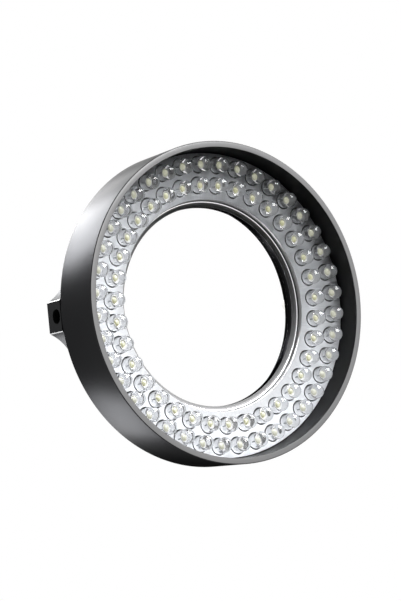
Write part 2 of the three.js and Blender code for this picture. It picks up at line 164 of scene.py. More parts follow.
def noise(tree, scale, detail):
    coords = tree.nodes.new("ShaderNodeTexCoord")
    texture = tree.nodes.new("ShaderNodeTexNoise")
    texture.inputs["Scale"].default_value = scale
    texture.inputs["Detail"].default_value = detail
    texture.inputs["Roughness"].default_value = NOISE_ROUGHNESS
    tree.links.new(coords.outputs["Object"], texture.inputs["Vector"])
    return texture.outputs["Fac"]


def spread(tree, value, low, high):
    """Maps a noise, which keeps near one half, to the range from low to high."""
    return map_range(tree, value, NOISE_LOW, NOISE_HIGH, low, high).outputs["Result"]


def mixed(tree, share, first, second, blend="MIX"):
    """A mix of two colours, each a tuple or a link, by a linked share."""
    mix = tree.nodes.new("ShaderNodeMix")
    mix.data_type = "RGBA"
    mix.blend_type = blend
    tree.links.new(share, mix.inputs["Factor"])
    for socket, value in ((mix.inputs[COLOR_A], first), (mix.inputs[COLOR_B], second)):
        if isinstance(value, tuple):
            socket.default_value = (*value, 1)
        else:
            tree.links.new(value, socket)
    return mix.outputs[COLOR_RESULT]


def mixed_shader(tree, share, first, second):
    mix = tree.nodes.new("ShaderNodeMixShader")
    tree.links.new(share, mix.inputs["Fac"])
    tree.links.new(first, mix.inputs[1])
    tree.links.new(second, mix.inputs[2])
    return mix.outputs["Shader"]


def bump(tree, shader, height, distance):
    node = tree.nodes.new("ShaderNodeBump")
    node.inputs["Distance"].default_value = distance * MM
    tree.links.new(height, node.inputs["Height"])
    tree.links.new(node.outputs["Normal"], shader.inputs["Normal"])


def shade(color, factor):
    return tuple(min(1, c * factor) for c in color)


# Kinds of material

# Noises, each as its scale and its detail
DRIFT = (60, 4)
PATCHES = (220, 5)
RUB = (900, 2)
EPOXY_DRIFT = (400, 2)
EPOXY_PATCHES = (300, 2)
BRUSH_DETAIL = 3
GRAIN_DETAIL = 2
# The least share of wear on an edge
RUB_LEAST = 0.15
# Scales of the brushed lines round the axis and out from it
LINES_ROUND = 130
LINES_OUTWARD = 90
EPOXY_IOR = 1.5
EPOXY_SPECULAR = 0.3
# Shares of the epoxy's tint, where it is lightest and for rays from the lights
EPOXY_LIGHTEST = 1.02
EPOXY_TO_LIGHTS = 1.04
# Where the epoxy's painted dark rim starts and ends, from 0, seen square on, to 1, along its surface
PAINTED_RIM_START = 0.5
PAINTED_RIM_END = 0.95


def surface(name, color, roughness, vary, grain, worn=None, **sockets):
    """A material whose colour and roughness drift over the surface by the share vary, with a bump
    from grain. On edges, where a mesh has the attribute edge, it takes the colour worn. Further
    sockets of its shader are set by name."""
    scale, depth = grain
    made, tree, shader = new_material(name)
    drift = spread(tree, noise(tree, *DRIFT), 0, 1)
    tint = mixed(tree, drift, shade(color, 1 - vary), shade(color, 1 + vary))
    if worn:
        edge = tree.nodes.new("ShaderNodeAttribute")
        edge.attribute_name = "edge"
        rubbed = spread(tree, noise(tree, *RUB), RUB_LEAST, 1)
        tint = mixed(tree, math_node(tree, "MULTIPLY", edge.outputs["Fac"], rubbed), tint, worn)
    tree.links.new(tint, shader.inputs["Base Color"])
    patches = noise(tree, *PATCHES)
    patchy = spread(tree, patches, roughness * (1 - vary), roughness * (1 + vary))
    tree.links.new(patchy, shader.inputs["Roughness"])
    for socket, value in sockets.items():
        shader.inputs[socket.replace("_", " ")].default_value = value
    bump(tree, shader, noise(tree, scale, GRAIN_DETAIL), depth)
    return made


def brush(material, darkest):
    """Darkens a material's colour along fine lines that run out from the ring's axis."""
    tree = material.node_tree
    shader = tree.nodes["Principled BSDF"]
    coords = tree.nodes.new("ShaderNodeTexCoord")
    split = tree.nodes.new("ShaderNodeSeparateXYZ")
    reach = tree.nodes.new("ShaderNodeVectorMath")
    reach.operation = "LENGTH"
    joined = tree.nodes.new("ShaderNodeCombineXYZ")
    texture = tree.nodes.new("ShaderNodeTexNoise")
    texture.inputs["Scale"].default_value = 1
    texture.inputs["Detail"].default_value = BRUSH_DETAIL
    tree.links.new(coords.outputs["Object"], split.inputs[0])
    tree.links.new(coords.outputs["Object"], reach.inputs[0])
    angle = math_node(tree, "ARCTAN2", split.outputs["Y"], split.outputs["X"])
    tree.links.new(math_node(tree, "MULTIPLY", angle, LINES_ROUND), joined.inputs["X"])
    outward_lines = math_node(tree, "MULTIPLY", reach.outputs["Value"], LINES_OUTWARD)
    tree.links.new(outward_lines, joined.inputs["Y"])
    tree.links.new(joined.outputs[0], texture.inputs["Vector"])
    lines = spread(tree, texture.outputs["Fac"], 1, 0)
    plain_color = shader.inputs["Base Color"].links[0].from_socket
    brushed = mixed(tree, lines, plain_color, (darkest, darkest, darkest), "MULTIPLY")
    tree.links.new(brushed, shader.inputs["Base Color"])


def paint_chip_glow(material, color, strength):
    """A painted glow: the chip gives off a little light of its own, also in shadow, in place of lamp
    light that the lens would gather onto it.
    """
    shader = material.node_tree.nodes["Principled BSDF"]
    shader.inputs["Emission Color"].default_value = (*color, 1)
    shader.inputs["Emission Strength"].default_value = strength


def clear_epoxy(name, tint, painted_rim_shade, roughness):
    """Clear epoxy with a painted dark rim where it is seen along its surface, a painted shade in place
    of the dark surroundings seen through its edges. Rays from the lights pass straight through it,
    so that they light what is inside."""
    made, tree, shader = new_material(name)
    facing = tree.nodes.new("ShaderNodeLayerWeight")
    rim = map_range(tree, facing.outputs["Facing"], PAINTED_RIM_START, PAINTED_RIM_END)
    side = tree.nodes.new("ShaderNodeNewGeometry")
    outside = math_node(tree, "SUBTRACT", 1, side.outputs["Backfacing"])
    outer_painted_rim = math_node(tree, "MULTIPLY", rim.outputs["Result"], outside)
    drift = spread(tree, noise(tree, *EPOXY_DRIFT), 0, 1)
    clear_tint = mixed(tree, drift, tint, shade(tint, EPOXY_LIGHTEST))
    tree.links.new(mixed(tree, outer_painted_rim, clear_tint, painted_rim_shade), shader.inputs["Base Color"])
    patches = noise(tree, *EPOXY_PATCHES)
    tree.links.new(spread(tree, patches, roughness, roughness * 2), shader.inputs["Roughness"])
    shader.inputs["IOR"].default_value = EPOXY_IOR
    shader.inputs["Specular IOR Level"].default_value = EPOXY_SPECULAR
    shader.inputs["Transmission Weight"].default_value = 1
    path = tree.nodes.new("ShaderNodeLightPath")
    clear = tree.nodes.new("ShaderNodeBsdfTransparent")
    clear.inputs["Color"].default_value = (*shade(tint, EPOXY_TO_LIGHTS), 1)
    both = mixed_shader(
        tree, path.outputs["Is Shadow Ray"], shader.outputs["BSDF"], clear.outputs["BSDF"]
    )
    tree.links.new(both, tree.nodes["Material Output"].inputs["Surface"])
    return made


# Materials

# Grains, each as the scale of its noise and its depth in millimetres
BLASTED = (2500, 0.004)
FACED = (2500, 0.003)
LACQUERED = (2500, 0.006)
SOFT_MOULDED = (3000, 0.01)
EXTRUDED = (3000, 0.008)
MOULDED = (3500, 0.01)
FIRED = (4000, 0.01)
DRAWN = (4000, 0.003)
MACHINED = (5000, 0.0015)
BLACKENED = (5000, 0.004)
PLATED = (6000, 0.002)
PAINTED = (6000, 0.003)
GRANULAR = (9000, 0.004)

WORN_DARK = (0.06, 0.06, 0.062)
WORN_BRIGHT = (0.3, 0.3, 0.31)
WORN_STEEL = (0.3, 0.3, 0.3)
WORN_TIN = (0.85, 0.84, 0.8)
WORN_BRASS = (0.8, 0.62, 0.3)

# What a metal reflects where it is seen along its surface
DARK_EDGE = (0.46, 0.46, 0.46, 1)
# The bore's is kept low as painted shade.
BORE_SHADED_EDGE = (0.22, 0.22, 0.22, 1)
SOFT_EDGE = (0.85, 0.85, 0.85, 1)

anodised = surface(
    "anodised", (0.021, 0.0212, 0.022), roughness=0.31, vary=0.02, grain=BLASTED,
    worn=WORN_DARK, Metallic=1, Specular_Tint=DARK_EDGE,
)
collar_finish = surface(
    "collar_finish", (0.026, 0.0262, 0.027), roughness=0.36, vary=0.02, grain=BLASTED,
    worn=WORN_DARK, Metallic=1, Specular_Tint=DARK_EDGE,
)
inner_finish = surface(
    "inner_finish", (0.035, 0.0352, 0.036), roughness=0.34, vary=0.02, grain=MACHINED,
    worn=WORN_DARK, Metallic=1, Specular_Tint=SOFT_EDGE,
)
# A darker, duller copy of the anodising, which keeps the bore dark: painted shade in the bore.
bore_shaded_finish = surface(
    "bore_shaded_finish", (0.014, 0.014, 0.0142), roughness=0.27, vary=0.02, grain=MACHINED,
    worn=WORN_BRIGHT, Metallic=1, Specular_Tint=BORE_SHADED_EDGE,
)
# The front rim is a lighter metal than the shell's anodising, standing in for a softbox's reflection:
# painted sheen.
rim_painted_sheen = surface(
    "rim_painted_sheen", (0.23, 0.23, 0.232), roughness=0.3, vary=0.02, grain=FACED, Metallic=1
)
lug_edge = surface(
    "lug_edge", (0.03, 0.03, 0.031), roughness=0.45, vary=0.03, grain=MACHINED, Metallic=1
)
hole_black = surface(
    "hole_black", (0.004, 0.004, 0.004), roughness=0.6, vary=0.05, grain=MACHINED,
    Specular_IOR_Level=0.05,
)
lip_finish = surface(
    "lip_finish", (0.28, 0.28, 0.285), roughness=0.4, vary=0.03, grain=MACHINED,
    Specular_IOR_Level=0.3,
)
# The lower half of the lip's chamfer takes a darker, duller copy of the lip's finish: painted shade
# where it turns into the bore.
lip_painted_shade = surface(
    "lip_painted_shade", (0.24, 0.24, 0.243), roughness=0.5, vary=0.03, grain=MACHINED,
    Specular_IOR_Level=0.1,
)
bright_edge = surface(
    "bright_edge", (0.88, 0.88, 0.89), roughness=0.25, vary=0.03, grain=MACHINED, Metallic=1
)
plate_edge = surface(
    "plate_edge", (0.26, 0.26, 0.265), roughness=0.35, vary=0.03, grain=MACHINED, Metallic=1
)
plate_paint = surface(
    "plate_paint", (0.825, 0.842, 0.87), roughness=0.4, vary=0.02, grain=PAINTED,
    Specular_IOR_Level=0,
)
brush(plate_paint, darkest=0.9)
hole_paint = surface("hole_paint", (0.75, 0.76, 0.78), roughness=0.5, vary=0.03, grain=PAINTED)

# The epoxy's dark rim is painted shade.
epoxy = clear_epoxy("epoxy", tint=(0.95, 0.955, 0.96), painted_rim_shade=(0.22, 0.23, 0.25), roughness=0.012)
seat_grey = surface(
    "seat_grey", (0.47, 0.48, 0.50), roughness=0.5, vary=0.03, grain=PAINTED, Specular_IOR_Level=0.2
)
cup_silver = surface("cup_silver", (0.66, 0.66, 0.65), roughness=0.4, vary=0.04, grain=PLATED)
phosphor = surface("phosphor", (0.42, 0.42, 0.38), roughness=0.5, vary=0.08, grain=GRANULAR)
# The inner chips get a painted glow; they are no lamps.
paint_chip_glow(phosphor, (0.95, 0.92, 0.30), strength=0.26)
pale_phosphor = surface(
    "pale_phosphor", (0.30, 0.30, 0.28), roughness=0.5, vary=0.08, grain=GRANULAR
)
# The outer chips get a painted glow; they are no lamps.
paint_chip_glow(pale_phosphor, (0.95, 0.95, 0.66), strength=0.3)
# The lamps' foot, below the plate and in the gap round each lamp, is painted dark as shade; the real
# lamp body there is clear.
painted_shade_foot = surface("painted_shade_foot", (0.07, 0.07, 0.072), roughness=0.5, vary=0.05, grain=PAINTED)

dark_steel = surface(
    "dark_steel", (0.07, 0.07, 0.072), roughness=0.34, vary=0.1, grain=BLACKENED,
    worn=WORN_STEEL, Metallic=1,
)
tinned = surface(
    "tinned", (0.72, 0.70, 0.66), roughness=0.28, vary=0.05, grain=DRAWN, worn=WORN_TIN, Metallic=1
)
brass = surface(
    "brass", (0.62, 0.45, 0.20), roughness=0.3, vary=0.05, grain=DRAWN, worn=WORN_BRASS, Metallic=1
)
nylon = surface("nylon", (0.86, 0.85, 0.81), roughness=0.5, vary=0.03, grain=SOFT_MOULDED)
black_plastic = surface(
    "black_plastic", (0.014, 0.014, 0.015), roughness=0.42, vary=0.1, grain=MOULDED
)
board_mask = surface("board_mask", (0.03, 0.12, 0.055), roughness=0.35, vary=0.06, grain=LACQUERED)
ceramic = surface("ceramic", (0.03, 0.03, 0.033), roughness=0.6, vary=0.1, grain=FIRED)
red_jacket = surface("red_jacket", (0.42, 0.02, 0.02), roughness=0.45, vary=0.05, grain=EXTRUDED)
black_jacket = surface(
    "black_jacket", (0.015, 0.015, 0.015), roughness=0.45, vary=0.05, grain=EXTRUDED
)

# Mesh tools

SHARP_ANGLE = math.radians(32)
SMALLEST_RADIUS = 1e-6
SMALLEST_ROUNDING = 0.001
# The most of a profile's side that the rounding of one corner takes
SIDE_SHARE = 0.45
ROUNDING = 0.1
ROUNDING_STEPS = 3
RING_SIDES = 240
CUT_SIDES = 40


class Builder:
    """Collects the faces of one piece, in millimetres, and makes its mesh."""

    def __init__(self):
        self.points, self.faces, self.slots, self.edges = [], [], [], []

    def add(self, points, faces, slots, edges=None, place=None):
        first = len(self.points)
        self.points += [place @ Vector(p) for p in points] if place else [Vector(p) for p in points]
        self.edges += edges or [0.0] * len(points)
        self.faces += [[first + i for i in f] for f in faces]
        self.slots += slots

    def piece(self, name, materials):
        data = bpy.data.meshes.new(name)
        data.from_pydata([p * MM for p in self.points], [], self.faces)
        for material in materials:
            data.materials.append(material)
        data.polygons.foreach_set("material_index", self.slots)
        if any(self.edges):
            attribute = data.attributes.new("edge", "FLOAT", "POINT")
            attribute.data.foreach_set("value", self.edges)
        smooth(data)
        data.update()
        made = bpy.data.objects.new(name, data)
        scene.collection.objects.link(made)
        return made


def smooth(mesh):
    mesh.shade_smooth()
    mesh.set_sharp_from_angle(angle=SHARP_ANGLE)


def rounded(profile, radius, steps):
    """A closed profile with its corners rounded. Returns its points, for each point how far it lies
    on an edge, and the slot of the face from it to the next. A corner may name the slot of the face
    that follows it (face), the slot of its rounding (corner) and its own radius."""
    out, edges, slots = [], [], []
    count = len(profile)
    for i, here in enumerate(profile):
        options = here[2] if len(here) > 2 else {}
        face = options.get("face", 0)
        corner = options.get("corner", face)
        point = Vector(here[:2])
        before = Vector(profile[i - 1][:2]) - point
        after = Vector(profile[(i + 1) % count][:2]) - point
        turn = before.angle(after)
        reach = options.get("radius", radius) / math.tan(turn / 2)
        reach = min(reach, before.length * SIDE_SHARE, after.length * SIDE_SHARE)
        if reach < SMALLEST_ROUNDING:
            out.append(tuple(point))
            edges.append(0.0)
            slots.append(face)
            continue
        start = point + before.normalized() * reach
        end = point + after.normalized() * reach
        for k in range(steps + 1):
            t = k / steps
            out.append(tuple((1 - t) ** 2 * start + 2 * t * (1 - t) * point + t * t * end))
            edges.append(1.0 if 0 < k < steps else 0.0)
            slots.append(corner if k < steps else face)
    return out, edges, slots


def hexagon(radius, angle):
    """How far a hexagon with corners at radius reaches in a direction."""
    sixth = math.pi / 3
    return radius * math.cos(sixth / 2) / math.cos((angle % sixth) - sixth / 2)


def turned(builder, profile, sides, slots=None, edges=None, place=None, hexed=None, closed=False):
    """Turns a profile of (radius, height) about Z. Slots has a slot for the face after each point, and
    edges says how far each point lies on an edge. Points at the radius hexed make hexagons."""
    count = len(profile)
    slots = slots or [0] * count
    edges = edges or [0.0] * count
    points, faces, face_slots, marks, rings = [], [], [], [], []
    for i, (radius, height) in enumerate(profile):
        first = len(points)
        if radius < SMALLEST_RADIUS:
            points.append((0, 0, height))
            marks.append(edges[i])
            rings.append([first] * sides)
            continue
        for k in range(sides):
            angle = TURN * k / sides
            reach = hexagon(radius, angle) if radius == hexed else radius
            points.append((reach * math.cos(angle), reach * math.sin(angle), height))
        marks += [edges[i]] * sides
        rings.append(list(range(first, first + sides)))
    for i in range(count if closed else count - 1):
        low, high = rings[i], rings[(i + 1) % count]
        for k in range(sides):
            n = (k + 1) % sides
            face = list(dict.fromkeys((low[k], low[n], high[n], high[k])))
            if len(face) > 2:
                faces.append(face)
                face_slots.append(slots[i])
    builder.add(points, faces, face_slots, marks, place)
    return builder


def turned_piece(name, profile, materials, radius=ROUNDING, steps=ROUNDING_STEPS):
    """A piece turned from a closed profile, its corners rounded to radius."""
    points, edges, slots = rounded(profile, radius, steps)
    return turned(Builder(), points, RING_SIDES, slots, edges, closed=True).piece(name, materials)


def rod(builder, radius, bottom, top, place):
    """Adds a plain rod along Z, for cutting a hole."""
    turned(builder, [(0, bottom), (radius, bottom), (radius, top), (0, top)], CUT_SIDES, place=place)


def prism(outline, bottom, top):
    """A prism on a flat outline. Its two ends come first, then a face for each side."""
    builder = Builder()
    count = len(outline)
    points = [(x, y, bottom) for x, y in outline] + [(x, y, top) for x, y in outline]
    faces = [list(range(count))[::-1], list(range(count, 2 * count))]
    faces += [[i, (i + 1) % count, count + (i + 1) % count, count + i] for i in range(count)]
    builder.add(points, faces, [0] * len(faces))
    return builder


def spin(degrees):
    return Matrix.Rotation(math.radians(degrees), 4, "Z")


def outward(degrees, height):
    """Lays a piece made along Z so that it points outward from the ring's axis."""
    return Matrix.Translation((0, 0, height)) @ spin(degrees) @ Matrix.Rotation(math.pi / 2, 4, "Y")


def boolean(target, cutter, operation="DIFFERENCE"):
    """Cuts or joins with the exact solver, keeps the result as the target's mesh and removes the
    cutter."""
    modifier = target.modifiers.new("cut", "BOOLEAN")
    modifier.operation = operation
    modifier.solver = "EXACT"
    modifier.object = cutter
    bpy.context.view_layer.update()
    evaluated = target.evaluated_get(bpy.context.evaluated_depsgraph_get())
    data = bpy.data.meshes.new_from_object(evaluated)
    target.modifiers.clear()
    old, target.data = target.data, data
    data.name = target.name
    bpy.data.meshes.remove(old)
    bpy.data.objects.remove(cutter)


def finished(piece, body, node):
    """Attaches a piece to the body it rides on and hides the CAD node that it stands for."""
    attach(piece, body)
    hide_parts(node)


# Shell and sleeve

REAR_CHAMFER = 0.4
RIM_CHAMFER = 0.22
LEDGE_EDGE = 1
LEDGE_DEPTH = 1.4
SLEEVE_GAP = 0.3
SHELL_ROUNDING = 0.08
LIP_ROUNDING = 0.55
SHELL_LOOKS = [anodised, rim_painted_sheen, inner_finish]
WALL, RIM, INSIDE = range(3)
SLEEVE_LOOKS = [bore_shaded_finish, lip_finish, bright_edge, lip_painted_shade]
# Slot 0 is a piece's main look, and the others are named
LIP, LIP_BRIGHT, LIP_PAINTED_SHADE = 1, 2, 3

shell_profile = [
    (SHELL_RADIUS - REAR_CHAMFER, COLLAR_HEIGHT),
    (SHELL_RADIUS, COLLAR_HEIGHT + REAR_CHAMFER),
    (SHELL_RADIUS, HEIGHT - RIM_CHAMFER),
    (SHELL_RADIUS - RIM_CHAMFER, HEIGHT, {"face": RIM, "corner": WALL}),
    (SHELL_INNER, HEIGHT, {"face": INSIDE}),
    (SHELL_INNER, LEDGE_TOP),
    (SHELL_INNER - LEDGE_WIDTH, LEDGE_TOP),
    (SHELL_INNER - LEDGE_WIDTH, LEDGE_TOP - LEDGE_EDGE),
    (SHELL_INNER, LEDGE_TOP - LEDGE_DEPTH),
    (SHELL_INNER, REAR_WALL_TOP),
    (SLEEVE_RADIUS + SLEEVE_GAP, REAR_WALL_TOP),
    (SLEEVE_RADIUS + SLEEVE_GAP, COLLAR_HEIGHT),
]
shell = turned_piece("shell", shell_profile, SHELL_LOOKS, SHELL_ROUNDING)
finished(shell, "housing", "outer_shell")

sleeve_profile = [
    (RECESS_RADIUS, COLLAR_HEIGHT),
    (SLEEVE_RADIUS, COLLAR_HEIGHT),
    (SLEEVE_RADIUS, REAR_WALL_TOP),
    (FLANGE_RADIUS, REAR_WALL_TOP),
    (FLANGE_RADIUS, FLANGE_TOP),
    (SLEEVE_RADIUS, FLANGE_TOP),
    (SLEEVE_RADIUS, SLEEVE_TOP, {"face": LIP}),
    (
        BORE_RADIUS + LIP_WIDTH,
        SLEEVE_TOP,
        {"face": LIP, "corner": LIP_BRIGHT, "radius": LIP_ROUNDING},
    ),
    # From here down the chamfer is in painted shade.
    (BORE_RADIUS + LIP_WIDTH / 2, SLEEVE_TOP - LIP_DROP / 2, {"face": LIP_PAINTED_SHADE}),
    (BORE_RADIUS, LIP_EDGE),
    (BORE_RADIUS, SHOULDER),
    (RECESS_RADIUS, SHOULDER),
]
sleeve = turned_piece("sleeve", sleeve_profile, SLEEVE_LOOKS)
finished(sleeve, "housing", "bore_sleeve")

# LED plate

LED_RADIUS = 2.5
LED_TIP = 5.9
LED_BOTTOM = -2.8
LEDS_PER_STRING = 5
HOLE_RADIUS = 3
DRILL_BOTTOM = -3
DRILL_TOP = 1
PLATE_LOOKS = [plate_paint, hole_paint, plate_edge]
HOLE, BORE_RIM = 1, 2
# For each row its radius, its number of lamps and where its first lamp is, in degrees
ROWS = {"inner": (39.7, 35, 1), "outer": (46.4, 40, 2.4)}


def lamp_places(row):
    """Where each lamp of a row sits, with its axis square to the plate."""
    radius, count, turn = ROWS[row]
    lean = Matrix.Rotation(-PLATE_TILT, 4, "Y")
    seat = Matrix.Translation((radius, 0, plate_front(radius)))
    return [spin(turn + 360 * i / count) @ seat @ lean for i in range(count)]


plate_profile = [
    (PLATE_BORE, plate_back(PLATE_BORE)),
    (PLATE_RADIUS, plate_back(PLATE_RADIUS)),
    (PLATE_RADIUS, plate_front(PLATE_RADIUS)),
    (PLATE_BORE, plate_front(PLATE_BORE), {"face": BORE_RIM}),
]
plate = turned_piece("plate", plate_profile, PLATE_LOOKS)
drill = [(0, DRILL_BOTTOM), (HOLE_RADIUS, DRILL_BOTTOM), (HOLE_RADIUS, DRILL_TOP), (0, DRILL_TOP)]
holes = Builder()
for row in ROWS:
    for place in lamp_places(row):
        turned(holes, drill, CUT_SIDES, [HOLE] * len(drill), place=place)
boolean(plate, holes.piece("holes", PLATE_LOOKS))
smooth(plate.data)
finished(plate, "housing", "led_plate")

# LED lamps, each along Z with the plate's front at zero

LAMP_SIDES = 36
CUP_SIDES = 24
LEAD_SIDES = 8
DOME_STEPS = 12
DOME_BOTTOM = -0.15
SEAT_HEIGHT = DOME_BOTTOM + 0.02
SEAT_RADIUS = 2.42
SEAT_EDGE = 0.1
FOOT_RADIUS = 2.49
FOOT_END_RADIUS = 2.3
FOOT_EDGE = 0.2
BASE_RING_RADIUS = 2.95
BASE_RING_TOP = -0.75
BASE_RING_BOTTOM = BASE_RING_TOP - 0.2
CUP_HEIGHT = 2.3
CUP_FLOOR = CUP_HEIGHT - 0.14
CUP_NECK = CUP_FLOOR - 0.5
CUP_WALL = 0.12
CUP_FLOOR_WALL = 0.1
POST_FOOT_RADIUS = 0.13
POST_NECK_RADIUS = 0.15
CHIP_STEPS = 4
CHIP_SIDE = 0.1
CHIP_RISE = 0.3
LEAD_OFFSET = 1.1
LEAD_RADIUS = 0.12
LEAD_SHOULDER = 1.1
LEAD_TIP = 1.2
# Each lamp's cup and lead are turned by a random number of degrees
SEED = 5
LEAST_TURN = 60
MOST_TURN = 120
# For each row how far the cup stands outward from the lamp's axis, the cup's and the chip's radius
ROW_LOOKS = {"inner": (-0.1, 0.74, 0.52), "outer": (0.0, 0.66, 0.6)}
EPOXY, SEAT, CUP, CHIP, BASE = range(5)


def add_arc(profile, radius, height, rise, steps):
    """Adds the quarter of an ellipse that rises from radius at height to the axis."""
    for i in range(steps):
        angle = TURN / 4 * i / steps
        profile.append((radius * math.cos(angle), height + rise * math.sin(angle)))
    profile.append((0, height + rise))


def add_lamp(builder, place, turn, shift, cup_radius, chip_radius):
    """Adds a clear dome, its foot in painted shade and, inside it, the cup with the chip and the bond
    lead.
    """
    dome = [(0, DOME_BOTTOM), (LED_RADIUS, DOME_BOTTOM)]
    add_arc(dome, LED_RADIUS, LED_TIP - LED_RADIUS, LED_RADIUS, DOME_STEPS)
    turned(builder, dome, LAMP_SIDES, [EPOXY] * len(dome), place=place)
    foot = [
        (0, LED_BOTTOM),
        (FOOT_END_RADIUS, LED_BOTTOM),
        (FOOT_RADIUS, LED_BOTTOM + FOOT_EDGE),
        (FOOT_RADIUS, BASE_RING_BOTTOM),
        (BASE_RING_RADIUS, BASE_RING_BOTTOM),
        (BASE_RING_RADIUS, BASE_RING_TOP),
        (FOOT_RADIUS, BASE_RING_TOP),
        (FOOT_RADIUS, SEAT_HEIGHT - SEAT_EDGE),
        (SEAT_RADIUS, SEAT_HEIGHT),
        (0, SEAT_HEIGHT),
    ]
    # The foot and its ring in the hole are painted dark, as shade.
    turned(builder, foot, LAMP_SIDES, [BASE] * (len(foot) - 2) + [SEAT], place=place)
    inside = place @ Matrix.Translation((shift, 0, 0)) @ spin(turn)
    post = [
        (0, SEAT_HEIGHT),
        (POST_FOOT_RADIUS, SEAT_HEIGHT),
        (POST_NECK_RADIUS, CUP_NECK),
        (cup_radius + CUP_FLOOR_WALL, CUP_FLOOR),
        (cup_radius + CUP_WALL, CUP_HEIGHT),
        (cup_radius, CUP_HEIGHT),
        (chip_radius, CUP_FLOOR),
        (0, CUP_FLOOR),
    ]
    turned(builder, post, CUP_SIDES, [SEAT, SEAT] + [CUP] * (len(post) - 3), place=inside)
    chip = [(0, CUP_FLOOR)]
    add_arc(chip, chip_radius, CUP_FLOOR + CHIP_SIDE, CHIP_RISE, CHIP_STEPS)
    turned(builder, chip, CUP_SIDES, [CHIP] * len(chip), place=inside)
    lead = [(0, SEAT_HEIGHT), (LEAD_RADIUS, SEAT_HEIGHT), (LEAD_RADIUS, LEAD_SHOULDER), (0, LEAD_TIP)]
    beside = inside @ Matrix.Translation((LEAD_OFFSET, 0, 0))
    turned(builder, lead, LEAD_SIDES, [SEAT] * len(lead), place=beside)


random.seed(SEED)
for row in ROWS:
    places = lamp_places(row)
    chip_look = phosphor if row == "inner" else pale_phosphor
    looks = [epoxy, seat_grey, cup_silver, chip_look, painted_shade_foot]
    for i in range(len(places) // LEDS_PER_STRING):
        string = Builder()
        for place in places[i * LEDS_PER_STRING : (i + 1) * LEDS_PER_STRING]:
            add_lamp(string, place, random.uniform(LEAST_TURN, MOST_TURN), *ROW_LOOKS[row])
        piece = string.piece(f"lamps_{row}_{i + 1}", looks)
        finished(piece, "housing", f"led_string_{row}_{i + 1}")

# Collar with its lug

LUG_REACH = 52.5
LUG_HALF_WIDTH = 5.15
LUG_CHAMFER = 0.25
LUG_TURN = 180
FLARE_RADIUS = 15
FLARE_STEPS = 24
FLARE_ROOT = COLLAR_MIDDLE + 2.4
COLLAR_CHAMFER = 0.5
COLLAR_ROUNDING = 0.06
COLLAR_ROUNDING_STEPS = 2
COLLAR_LOOKS = [collar_finish, lug_edge, hole_black]
LUG_EDGE, HOLE_BLACK = 1, 2


def lug_outline():
    """The lug seen along the ring's axis, pointing to +X, with its flares."""
    corner = Vector((LUG_REACH - LUG_CHAMFER, LUG_HALF_WIDTH))
    centre_reach = COLLAR_RADIUS + FLARE_RADIUS
    reach = corner.length
    along = (centre_reach**2 - FLARE_RADIUS**2 + reach**2) / (2 * reach)
    away = math.sqrt(centre_reach**2 - along**2)
    tilt = math.atan2(corner.y, corner.x)
    centre = Vector((along, away))
    centre.rotate(Matrix.Rotation(tilt, 2))
    start = math.atan2(corner.y - centre.y, corner.x - centre.x)
    end = math.atan2(-centre.y, -centre.x)
    side = [(LUG_REACH, LUG_HALF_WIDTH - LUG_CHAMFER)]
    for i in range(FLARE_STEPS + 1):
        angle = start + (end - start) * i / FLARE_STEPS
        x = centre.x + FLARE_RADIUS * math.cos(angle)
        y = centre.y + FLARE_RADIUS * math.sin(angle)
        side.append((x, y))
    side.append(tuple(centre.normalized() * FLARE_ROOT))
    return [(x, -y) for x, y in reversed(side)] + side


collar_profile = [
    (COLLAR_BORE + COLLAR_CHAMFER, 0),
    (COLLAR_RADIUS - COLLAR_CHAMFER, 0),
    (COLLAR_RADIUS, COLLAR_CHAMFER),
    (COLLAR_RADIUS, COLLAR_HEIGHT),
    (COLLAR_BORE, COLLAR_HEIGHT),
    (COLLAR_BORE, COLLAR_CHAMFER),
]
collar = turned_piece(
    "collar", collar_profile, COLLAR_LOOKS, COLLAR_ROUNDING, COLLAR_ROUNDING_STEPS
)
lug = prism(lug_outline(), 0, COLLAR_HEIGHT)
# The middle face is the lug's front, and the faces before and after it are its two chamfers.
lug_front = len(lug.slots) // 2
lug.slots[lug_front - 1] = lug.slots[lug_front + 1] = LUG_EDGE
lug = lug.piece("lug", COLLAR_LOOKS)
lug.matrix_world = spin(LUG_TURN)
boolean(collar, lug, "UNION")

# Holes and pocket in the collar

MOUNT_SCREWS = 6
MOUNT_SCREW_TURN = 30
MOUNT_HOLE_RADIUS = 1.55
MOUNT_HOLE_ENDS = (2, 9)
MOUNT_HEAD_TOP = 2.8
HEAD_HOLE_RADIUS = 2.55
HEAD_HOLE_ENDS = (-1, MOUNT_HEAD_TOP)
CLAMPS = 3
CLAMP_HEIGHT = COLLAR_HEIGHT / 2
CLAMP_HOLE_RADIUS = 2.8
CLAMP_HOLE_ENDS = (38, 48)
INLET_HEIGHT = 5.4
INLET_RADIUS = 2.4
INLET_MOUTH_RADIUS = 2.55
INLET_MOUTH_START = 52.45
INLET_MOUTH_END = 52.7
POCKET_INNER = 41.8
POCKET_OUTER = 49.2
POCKET_HALF_WIDTH = 3.1
POCKET_BOTTOM = 2.3
POCKET_TOP = COLLAR_HEIGHT + 1


def mount_place(number):
    turn = MOUNT_SCREW_TURN + 360 * number / MOUNT_SCREWS
    return spin(turn) @ Matrix.Translation((COLLAR_MIDDLE, 0, 0))


def clamp_place(number):
    return outward(360 * number / CLAMPS, CLAMP_HEIGHT)


